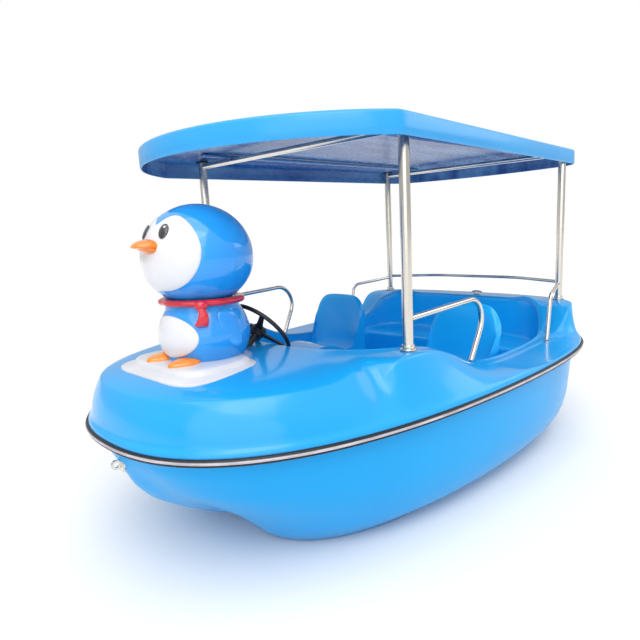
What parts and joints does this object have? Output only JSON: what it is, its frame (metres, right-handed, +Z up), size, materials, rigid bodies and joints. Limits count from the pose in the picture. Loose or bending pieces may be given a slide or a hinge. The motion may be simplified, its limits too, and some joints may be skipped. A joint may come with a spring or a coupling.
{
  "type": "pedal boat",
  "caption": "Moulded pedal boat with canopy on posts, paired front seats, rear bench, grab rails, bird figurehead, steering wheel, rudder, and pedals driving a paddle wheel.",
  "frame": {"origin": "under the middle of the whole boat, on the plane that the pontoons stand on", "axes": "+X to the bow, +Y to port, +Z up"},
  "size_m": [2.9342, 1.8185, 1.645],
  "materials": {
    "gelcoat_blue": "high gloss gelcoat",
    "gelcoat_white": "gloss gelcoat",
    "gelcoat_orange": "gloss gelcoat",
    "gelcoat_red": "gloss gelcoat",
    "fibreglass": "bare moulding",
    "foam": "closed cell foam",
    "rubber_black": "semi-matte",
    "strip_grey": "satin vinyl insert",
    "stainless": "polished tube",
    "steel": "turned",
    "black_plastic": "moulded",
    "grey_plastic": "moulded",
    "nylon": "machined"
  },
  "bodies": {
    "boat": {"hull_shell": "gelcoat_blue", "deck_shell": "gelcoat_blue", "front_seat_port": "gelcoat_blue", "front_seat_starboard": "gelcoat_blue", "roof_panel": "gelcoat_blue", "figure_body": "gelcoat_blue", "figure_head": "gelcoat_blue", "figure_flippers": "gelcoat_blue", "paddle_box": "fibreglass", "post_sockets": "fibreglass", "figure_base": "gelcoat_white", "figure_beak": "gelcoat_orange", "figure_feet": "gelcoat_orange", "figure_scarf": "gelcoat_red", "foam_port": "foam", "foam_starboard": "foam", "rub_rail": "rubber_black", "drain_plug": "rubber_black", "roof_pads": "rubber_black", "rub_rail_strip": "strip_grey", "bow_eye": "stainless", "stern_cleat": "stainless", "post_front_port": "stainless", "post_front_starboard": "stainless", "post_rear_port": "stainless", "post_rear_starboard": "stainless", "cross_tube_front": "stainless", "cross_tube_rear": "stainless", "handrail_port": "stainless", "handrail_starboard": "stainless", "stern_rail_port": "stainless", "stern_rail_starboard": "stainless", "stern_rail_back": "stainless", "rail_feet": "stainless", "rudder_bracket_lower": "steel", "rudder_bracket_upper": "steel", "steering_column": "black_plastic", "crank_bearing_port_inner": "nylon", "crank_bearing_port_outer": "nylon", "crank_bearing_starboard_inner": "nylon", "crank_bearing_starboard_outer": "nylon"},
    "crank": {"crank_shaft": "steel", "paddle_hub": "grey_plastic", "paddle_blades": "grey_plastic"},
    "pedal_1": {"pedal_port_inner": "grey_plastic"},
    "pedal_2": {"pedal_port_outer": "grey_plastic"},
    "pedal_3": {"pedal_starboard_inner": "grey_plastic"},
    "pedal_4": {"pedal_starboard_outer": "grey_plastic"},
    "steering": {"steering_wheel": "black_plastic", "steering_hub": "black_plastic", "steering_shaft": "steel", "cable_drum": "nylon"},
    "rudder": {"rudder_blade": "grey_plastic", "rudder_stock": "steel", "tiller_arm": "steel"}
  },
  "joints": [
    {"name": "crank_spin", "type": "hinge", "parent": "boat", "child": "crank", "pos_m": [0.43, 0, 0.4], "axis": [0, 1, 0], "continuous": true},
    {"name": "pedal_1_spin", "type": "hinge", "parent": "crank", "child": "pedal_1", "pos_m": [0.43, 0.289, 0.52], "axis": [0, 1, 0], "continuous": true},
    {"name": "pedal_2_spin", "type": "hinge", "parent": "crank", "child": "pedal_2", "pos_m": [0.43, 0.44, 0.28], "axis": [0, 1, 0], "continuous": true},
    {"name": "pedal_3_spin", "type": "hinge", "parent": "crank", "child": "pedal_3", "pos_m": [0.43, -0.289, 0.28], "axis": [0, 1, 0], "continuous": true},
    {"name": "pedal_4_spin", "type": "hinge", "parent": "crank", "child": "pedal_4", "pos_m": [0.43, -0.44, 0.52], "axis": [0, 1, 0], "continuous": true},
    {"name": "steering_turn", "type": "hinge", "parent": "boat", "child": "steering", "pos_m": [0.72, 0, 0.81], "axis": [-0.788, 0, 0.6157], "range_deg": [-120, 120]},
    {"name": "rudder_turn", "type": "hinge", "parent": "boat", "child": "rudder", "pos_m": [-1.366, 0, 0.33], "axis": [0, 0, 1], "range_deg": [-36, 36]}
  ],
  "couplings": [
    {"joint": "rudder_turn", "follows": "steering_turn", "ratio": -0.3}
  ]
}
